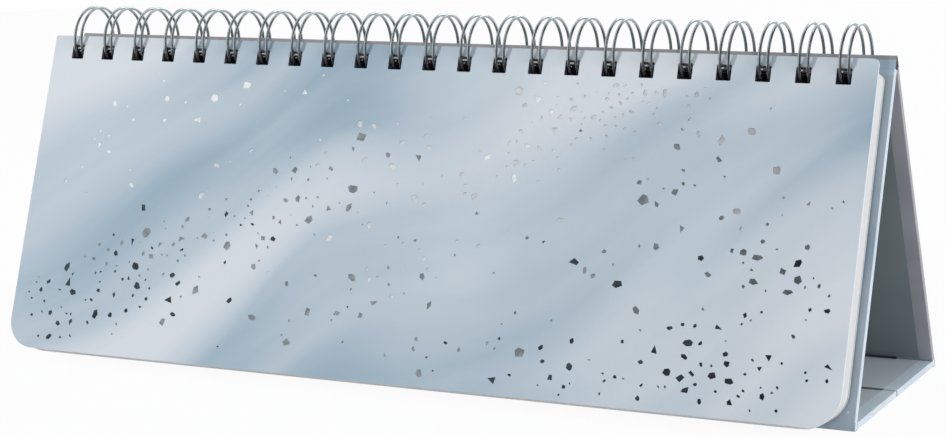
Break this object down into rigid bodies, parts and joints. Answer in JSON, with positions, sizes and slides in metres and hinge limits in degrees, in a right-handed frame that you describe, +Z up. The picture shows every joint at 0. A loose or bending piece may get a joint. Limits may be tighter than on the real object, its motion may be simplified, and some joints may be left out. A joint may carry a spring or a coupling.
{
  "type": "desk calendar",
  "caption": "Folding easel desk calendar with month leaves and a cover turning on a twin-loop wire binding",
  "frame": {"origin": "on the surface it stands on, under the middle of the whole footprint", "axes": "+X to the right seen from the pad's side, +Y from the pad to the back panel, +Z up"},
  "size_m": [0.3004, 0.0977, 0.1171],
  "materials": {
    "cover": "coated paper with silver foil flecks",
    "paper": "uncoated",
    "backing": "matte",
    "wire": "plated, pewter tone",
    "greyboard": "matte greyboard",
    "blue_wrap": "satin covering paper",
    "taupe_wrap": "satin covering paper",
    "liner": "matte"
  },
  "bodies": {
    "stand_front": {"front_board": "greyboard", "front_wrap": "blue_wrap", "front_liner": "liner", "front_foot_fold": "blue_wrap", "ridge_strip": "taupe_wrap", "wire_binding": "wire"},
    "stand_back": {"back_board": "greyboard", "back_wrap": "taupe_wrap", "back_liner": "liner", "rear_foot_fold": "taupe_wrap"},
    "base_front": {"base_front_board": "greyboard", "base_front_wrap": "blue_wrap", "base_front_liner": "liner"},
    "base_rear": {"base_rear_board": "greyboard", "base_rear_wrap": "blue_wrap", "base_rear_liner": "liner"},
    "backing": {"backing_card": "backing"},
    "january": {"january_leaves": "paper"},
    "february": {"february_leaves": "paper"},
    "march": {"march_leaves": "paper"},
    "april": {"april_leaves": "paper"},
    "may": {"may_leaves": "paper"},
    "june": {"june_leaves": "paper"},
    "july": {"july_leaves": "paper"},
    "august": {"august_leaves": "paper"},
    "september": {"september_leaves": "paper"},
    "october": {"october_leaves": "paper"},
    "november": {"november_leaves": "paper"},
    "december": {"december_leaves": "paper"},
    "cover": {"front_cover": "cover"}
  },
  "joints": [
    {"name": "base_front_fold", "type": "hinge", "parent": "stand_front", "child": "base_front", "pos_m": [0, -0.03125, 0.002], "axis": [1, 0, 0], "range_deg": [0, 66]},
    {"name": "ridge_fold", "type": "hinge", "parent": "stand_front", "child": "stand_back", "pos_m": [0, 0.00743, 0.10199], "axis": [-1, 0, 0], "range_deg": [0, 3.3]},
    {"name": "base_rear_fold", "type": "hinge", "parent": "stand_back", "child": "base_rear", "pos_m": [0, 0.04611, 0.002], "axis": [-1, 0, 0], "range_deg": [0, 66]},
    {"name": "backing_turn", "type": "hinge", "parent": "stand_front", "child": "backing", "pos_m": [0, 0.00042, 0.10521], "axis": [-1, 0, 0], "range_deg": [0, 180]},
    {"name": "december_turn", "type": "hinge", "parent": "backing", "child": "december", "pos_m": [0, 0.00042, 0.10521], "axis": [-1, 0, 0], "range_deg": [0, 180]},
    {"name": "november_turn", "type": "hinge", "parent": "december", "child": "november", "pos_m": [0, 0.00042, 0.10521], "axis": [-1, 0, 0], "range_deg": [0, 180]},
    {"name": "october_turn", "type": "hinge", "parent": "november", "child": "october", "pos_m": [0, 0.00042, 0.10521], "axis": [-1, 0, 0], "range_deg": [0, 180]},
    {"name": "september_turn", "type": "hinge", "parent": "october", "child": "september", "pos_m": [0, 0.00042, 0.10521], "axis": [-1, 0, 0], "range_deg": [0, 180]},
    {"name": "august_turn", "type": "hinge", "parent": "september", "child": "august", "pos_m": [0, 0.00042, 0.10521], "axis": [-1, 0, 0], "range_deg": [0, 180]},
    {"name": "july_turn", "type": "hinge", "parent": "august", "child": "july", "pos_m": [0, 0.00042, 0.10521], "axis": [-1, 0, 0], "range_deg": [0, 180]},
    {"name": "june_turn", "type": "hinge", "parent": "july", "child": "june", "pos_m": [0, 0.00042, 0.10521], "axis": [-1, 0, 0], "range_deg": [0, 180]},
    {"name": "may_turn", "type": "hinge", "parent": "june", "child": "may", "pos_m": [0, 0.00042, 0.10521], "axis": [-1, 0, 0], "range_deg": [0, 180]},
    {"name": "april_turn", "type": "hinge", "parent": "may", "child": "april", "pos_m": [0, 0.00042, 0.10521], "axis": [-1, 0, 0], "range_deg": [0, 180]},
    {"name": "march_turn", "type": "hinge", "parent": "april", "child": "march", "pos_m": [0, 0.00042, 0.10521], "axis": [-1, 0, 0], "range_deg": [0, 180]},
    {"name": "february_turn", "type": "hinge", "parent": "march", "child": "february", "pos_m": [0, 0.00042, 0.10521], "axis": [-1, 0, 0], "range_deg": [0, 180]},
    {"name": "january_turn", "type": "hinge", "parent": "february", "child": "january", "pos_m": [0, 0.00042, 0.10521], "axis": [-1, 0, 0], "range_deg": [0, 180]},
    {"name": "cover_turn", "type": "hinge", "parent": "january", "child": "cover", "pos_m": [0, 0.00042, 0.10521], "axis": [-1, 0, 0], "range_deg": [0, 180]}
  ],
  "couplings": [
    {"joint": "ridge_fold", "follows": "base_front_fold", "ratio": 0.05},
    {"joint": "base_rear_fold", "follows": "base_front_fold", "ratio": 1}
  ]
}
